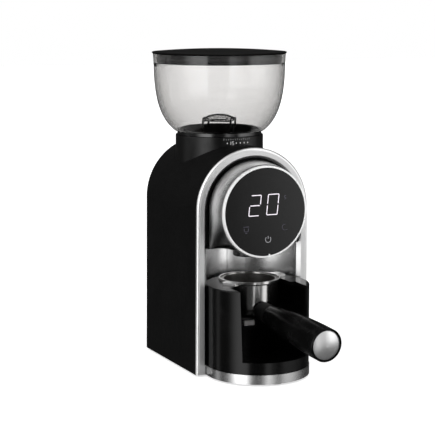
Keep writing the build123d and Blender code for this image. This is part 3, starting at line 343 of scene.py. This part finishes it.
MARK_MATERIALS = {
    "digits": lit("digits", (0.7, 0.65, 0.71, 1.0), 0.8),
    "soft_icon": lit("soft_icon", (0.36, 0.36, 0.38, 1.0), 0.5),
    "faint_icon": lit("faint_icon", (0.05, 0.046, 0.066, 1.0), 0.3),
    # printed and printed_grey are print on the collar with a painted glow
    "printed": lit("printed", (0.9, 0.9, 0.9, 1.0), 0.6),
    "printed_grey": lit("printed_grey", (0.35, 0.35, 0.35, 1.0), 0.15),
}

OWN_FINISH = {"adjust_ring": "ring_gloss"}     # nodes with a finer finish than the rest of their slot


def paint_nodes():
    """Gives every CAD node the material of the slot that the record names, or its own finish."""
    for subpart in frame["record"]["subparts"]:
        node = frame["nodes"][subpart["node"]]
        material = MATERIALS[OWN_FINISH.get(subpart["node"], subpart["material_slot"])]
        if not node.material_slots:
            node.data.materials.append(material)
        for slot in node.material_slots:
            slot.link = "OBJECT"
            slot.material = material


# ---------------------------------------------------------------- marks drawn as thin strokes
DISPLAY_MARK_DEPTH = 0.06     # mm that the marks stand out
COLLAR_MARK_DEPTH = 0.05


def stroke_mesh(name, paths, width, depth):
    """Strokes along (x, z) paths in mm, flattened so that they stand depth mm out towards -Y."""
    curve = bpy.data.curves.new(name, "CURVE")
    curve.dimensions = "3D"
    curve.bevel_depth = width / 2 * MM
    curve.bevel_resolution = 3
    curve.use_fill_caps = True
    for path in paths:
        spline = curve.splines.new("POLY")
        spline.points.add(len(path) - 1)
        for point, (x, z) in zip(spline.points, path):
            point.co = (x * MM, 0.0, z * MM, 1.0)
    drawn = bpy.data.objects.new(name, curve)
    mesh = bpy.data.meshes.new_from_object(drawn)
    bpy.data.objects.remove(drawn)
    squeeze = depth / (width / 2)
    for vertex in mesh.vertices:
        vertex.co.y *= squeeze
    return mesh


def place_piece(name, mesh, body, material):
    """Links the mesh as one piece that moves with the body."""
    mesh.materials.clear()
    mesh.materials.append(material)
    piece = bpy.data.objects.new(name, mesh)
    scene.collection.objects.link(piece)
    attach(piece, body)


def on_display(name, paths, width, material):
    """Marks on the front of the display glass."""
    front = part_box("display_glass")[0].y
    mesh = stroke_mesh(name, paths, width, DISPLAY_MARK_DEPTH)
    for vertex in mesh.vertices:
        vertex.co.y += front
    place_piece(name, mesh, "grinder", material)


def on_collar(name, paths, width, material):
    """Marks printed round the collar: x in mm is measured along its surface from the front."""
    low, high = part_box("collar")
    radius, middle_y = (high.x - low.x) / 2, (low.y + high.y) / 2
    mesh = stroke_mesh(name, paths, width, COLLAR_MARK_DEPTH)
    for vertex in mesh.vertices:
        angle = vertex.co.x / radius
        reach = radius - vertex.co.y
        vertex.co.x = reach * math.sin(angle)
        vertex.co.y = middle_y - reach * math.cos(angle)
    place_piece(name, mesh, "grinder", material)


def rounded(path, radius, steps=4):
    """The path with each inner corner replaced by a short curve."""
    result = [path[0]]
    for before, corner, after in zip(path, path[1:], path[2:]):
        here = Vector(corner)
        start = here + (Vector(before) - here).normalized() * radius
        end = here + (Vector(after) - here).normalized() * radius
        for step in range(steps + 1):
            t = step / steps
            point = start * (1 - t) ** 2 + here * 2 * t * (1 - t) + end * t ** 2
            result.append(tuple(point))
    result.append(path[-1])
    return result


def slanted(paths, x, z, width, height, lean):
    """Maps paths drawn in a unit cell to a leaning cell with its lower left corner at x, z."""
    return [[(x + u * width + v * lean, z + v * height) for u, v in path] for path in paths]


def arc(x, z, radius, start, end, steps=24):
    """Points on an arc round x, z from one angle to the other, in degrees."""
    angles = [math.radians(start + (end - start) * step / steps) for step in range(steps + 1)]
    return [(x + radius * math.cos(a), z + radius * math.sin(a)) for a in angles]


# Digits as strokes in a unit cell, with the small gaps that a seven-segment display has.
TWO = [[(0.1, 1), (1, 1), (1, 0.55)], [(0.94, 0.5), (0.06, 0.5)], [(0, 0.45), (0, 0), (0.92, 0)]]
ZERO = [[(0, 0.46), (0, 0), (1, 0), (1, 0.46)], [(0, 0.54), (0, 1), (1, 1), (1, 0.54)]]
TWO_AT = (-17.1, 154.5)
ZERO_AT = (1.3, 154.7)
DIGIT_SIZE = (11.0, 19.0)
DIGIT_LEAN = 1.9
DIGIT_CORNER = 1.0
DIGIT_STROKE = 0.85

# Icons on the glass, in mm: x and height above the table, then the width of the stroke.
POWER_ICON = [arc(3.1, 131.5, 2.8, 130, 410), [(3.1, 132.2), (3.1, 134.9)]]
POWER_STROKE = 0.42
UNIT_MARK = [(21.6, 171.6), (19.8, 171.6), (19.8, 170.1), (21.4, 170.1), (21.4, 168.6), (19.6, 168.6)]
UNIT_STROKE = 0.45
HOLDER_RIM = [(-22.6, 144.6), (-16.6, 144.6)]
HOLDER_BOWL = [(-21.8, 143.4), (-21.6, 140.2), (-17.6, 140.2), (-17.4, 143.4)]
HOLDER_SPOUT = [(-20.6, 138.8), (-18.6, 138.8)]
HOLDER_STROKE = 0.5
CUP_ICON = [arc(20.4, 142.0, 2.7, 70, 290), [(22.0, 139.6), (23.4, 139.6)]]
CUP_STROKE = 0.4


def make_display_marks():
    two = slanted(TWO, *TWO_AT, *DIGIT_SIZE, DIGIT_LEAN)
    zero = slanted(ZERO, *ZERO_AT, *DIGIT_SIZE, DIGIT_LEAN)
    digits = [rounded(path, DIGIT_CORNER) if len(path) > 2 else path for path in two + zero]
    holder = [HOLDER_RIM, rounded(HOLDER_BOWL, radius=0.8), HOLDER_SPOUT]
    faint = MARK_MATERIALS["faint_icon"]
    on_display("display_digits", digits, DIGIT_STROKE, MARK_MATERIALS["digits"])
    on_display("power_icon", POWER_ICON, POWER_STROKE, MARK_MATERIALS["soft_icon"])
    on_display("unit_mark", [rounded(UNIT_MARK, radius=0.5)], UNIT_STROKE, faint)
    on_display("holder_icon", holder, HOLDER_STROKE, faint)
    on_display("cup_icon", CUP_ICON, CUP_STROKE, faint)


# The grind scale in mm: x along the collar from its front, z above the table.
DIAL_Z = 216.5
DIAL_START = -2.2
DIAL_STEP = 4.28
DOT_STEPS = (-2.1, 0, 1, 2, 3)
DOT_HALF = 0.3
DOT_WIDTH = 1.15
NUMBER_AT = -7.7
# The number's two strokes, from its place on the scale.
ONE = [(0.0, -1.6), (0.0, 1.6)]
FIVE = [(2.9, 1.6), (1.6, 1.6), (1.5, 0.2), (2.8, 0.2), (2.9, -1.6), (1.4, -1.6)]
NUMBER_STROKE = 0.3
TICKS = 13
TICK_START = -14.5
TICK_STEP = 2.25
TICK_FOOT = 219.4
TICK_TOP = 220.5
LONG_TICK_TOP = 221.0      # every third one
TICK_STROKE = 0.4


def make_dial_marks():
    dots = []
    for step in DOT_STEPS:
        x = DIAL_START + step * DIAL_STEP
        dots.append([(x - DOT_HALF, DIAL_Z), (x + DOT_HALF, DIAL_Z)])
    on_collar("dial_dots", dots, DOT_WIDTH, MARK_MATERIALS["printed"])
    number = [[(NUMBER_AT + x, DIAL_Z + z) for x, z in path] for path in (ONE, FIVE)]
    on_collar("dial_number", number, NUMBER_STROKE, MARK_MATERIALS["printed"])
    ticks = []
    for tick in range(TICKS):
        x = TICK_START + tick * TICK_STEP
        ticks.append([(x, TICK_FOOT), (x, TICK_TOP if tick % 3 else LONG_TICK_TOP)])
    on_collar("dial_ticks", ticks, TICK_STROKE, MARK_MATERIALS["printed_grey"])


# The pointer in mm: its outline, each point as (across, outwards).
POINTER_OUTLINE = [(-1.6, 0.35), (1.6, 0.35), (0.45, -1.5), (-0.45, -1.5)]
POINTER_DEPTHS = (0.05, 0.9)      # where it starts and ends behind the ring's front
POINTER_INSET = 1.9               # from the ring's outside to the outline's origin
POINTER_TURN = math.radians(6.0)  # from straight down towards +X
POINTER_ROUNDING = 0.12


def make_bezel_mark():
    """Small pointer on the lower inside edge of the display ring."""
    low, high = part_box("display_bezel")
    middle_z, front = (low.z + high.z) / 2, low.y
    inner = (high.x - low.x) / 2 - POINTER_INSET * MM
    mesh = bpy.data.meshes.new("bezel_mark")
    shape = bmesh.new()
    rings = []
    for depth in POINTER_DEPTHS:
        ring = []
        for across, outward in POINTER_OUTLINE:
            reach = inner + outward * MM
            angle = POINTER_TURN + across * MM / reach
            x, z = reach * math.sin(angle), middle_z - reach * math.cos(angle)
            ring.append(shape.verts.new((x, front + depth * MM, z)))
        rings.append(ring)
    shape.faces.new(rings[0])
    shape.faces.new(rings[1][::-1])
    for k in range(len(POINTER_OUTLINE)):
        n = (k + 1) % len(POINTER_OUTLINE)
        shape.faces.new((rings[0][n], rings[0][k], rings[1][k], rings[1][n]))
    bmesh.ops.recalc_face_normals(shape, faces=shape.faces)
    rounding = POINTER_ROUNDING * MM
    bmesh.ops.bevel(shape, geom=list(shape.edges), offset=rounding, segments=2, affect="EDGES")
    shape.to_mesh(mesh)
    shape.free()
    place_piece("bezel_mark", mesh, "grinder", MATERIALS["chrome_bezel"])


# ---------------------------------------------------------------- studio
# Soft panels round the object: azimuths from the front (-Y) towards the left (-X) where one starts
# and ends, width of its soft edge at each, lowest and highest sine of elevation, strength.
PANELS = [
    (46, 80, 8, 30, -0.35, 0.85, 2.6),
    (88, 125, 14, 14, 0.0, 0.85, 1.4),
    (119, 128, 4, 4, -0.35, -0.12, 0.7),
    (-68, -29, 60, 14, -0.22, 0.85, 1.9),
    (-17, -5, 8, 4, -0.3, 0.6, 0.5),
    (-5, 8, 4, 4, -0.5, 0.6, 1.3),
]
PANEL_SOFT_LOW = 0.1       # half width of a panel's soft lower edge, in sine of elevation
PANEL_SOFT_HIGH = 0.15     # and of its upper edge
AMBIENT = 0.04
OVERHEAD = 0.9
OVERHEAD_RANGE = (0.55, 0.95)     # sine of elevation where the light from above begins and is full
BEHIND_CLEAR = 1.85        # strength of the backdrop where it shines through clear plastic
FLOOR_HALF = 6.0           # metres from the middle to the floor's edge
FLOOR_GLOW = 0.75


def seen_through_clear(tree):
    """1 for a ray that has only passed through clear plastic, and the node that knows the ray."""
    rays = tree.add("ShaderNodeLightPath").outputs
    bounces = tree.math("ADD", rays["Glossy Depth"], rays["Diffuse Depth"])
    through = tree.math("MULTIPLY", rays["Is Transmission Ray"], tree.math("LESS_THAN", bounces, 0.5))
    return through, rays


def make_world():
    """White behind the object; the panels show only in reflections and as light."""
    world = bpy.data.worlds.new("studio")
    world.use_nodes = True
    scene.world = world
    tree = Tree(world.node_tree)
    direction = tree.add("ShaderNodeTexCoord").outputs["Generated"]
    split = tree.add("ShaderNodeSeparateXYZ", {0: direction})
    front = tree.math("MULTIPLY", split.outputs[1], -1)
    left = tree.math("MULTIPLY", split.outputs[0], -1)
    azimuth = tree.math("DEGREES", tree.math("ARCTAN2", left, front))
    up = split.outputs[2]
    total = tree.ramp(up, *OVERHEAD_RANGE, AMBIENT, OVERHEAD)
    for start, end, soft_start, soft_end, low, high, strength in PANELS:
        panel = tree.product(
            tree.ramp(azimuth, start - soft_start / 2, start + soft_start / 2),
            tree.ramp(azimuth, end + soft_end / 2, end - soft_end / 2),
            tree.ramp(up, low - PANEL_SOFT_LOW, low + PANEL_SOFT_LOW),
            tree.ramp(up, high + PANEL_SOFT_HIGH, high - PANEL_SOFT_HIGH),
            strength,
        )
        total = tree.math("ADD", total, panel)
    through, rays = seen_through_clear(tree)
    seen = tree.math("MAXIMUM", rays["Is Camera Ray"], through)
    white = tree.math("ADD", tree.math("MULTIPLY", through, BEHIND_CLEAR - 1), 1.0)
    light = tree.mix(seen, total, white)
    background = world.node_tree.nodes["Background"]
    world.node_tree.links.new(light, background.inputs[0])


def make_floor():
    """Pale floor with a glow of its own, left out of reflections."""
    mesh = bpy.data.meshes.new("floor")
    h = FLOOR_HALF
    mesh.from_pydata([(-h, -h, 0), (h, -h, 0), (h, h, 0), (-h, h, 0)], [], [(0, 1, 2, 3)])
    floor = bpy.data.objects.new("floor", mesh)
    scene.collection.objects.link(floor)
    shade = Shade("floor", Roughness=0.6, Specular_IOR_Level=0.1)
    pale = shade.mix(shade.ramp(shade.noise(400, 2), *TONE_RANGE), rgb(0.86), rgb(0.9))
    shade.link("Base Color", pale)
    shade.link("Emission Color", pale)
    through, _ = seen_through_clear(shade)
    extra = shade.math("MULTIPLY", through, BEHIND_CLEAR - 1)
    shade.link("Emission Strength", shade.math("ADD", extra, FLOOR_GLOW))
    mesh.materials.append(shade.material)
    floor.visible_glossy = False


make_camera()
paint_nodes()
make_display_marks()
make_dial_marks()
make_bezel_mark()
make_world()
make_floor()
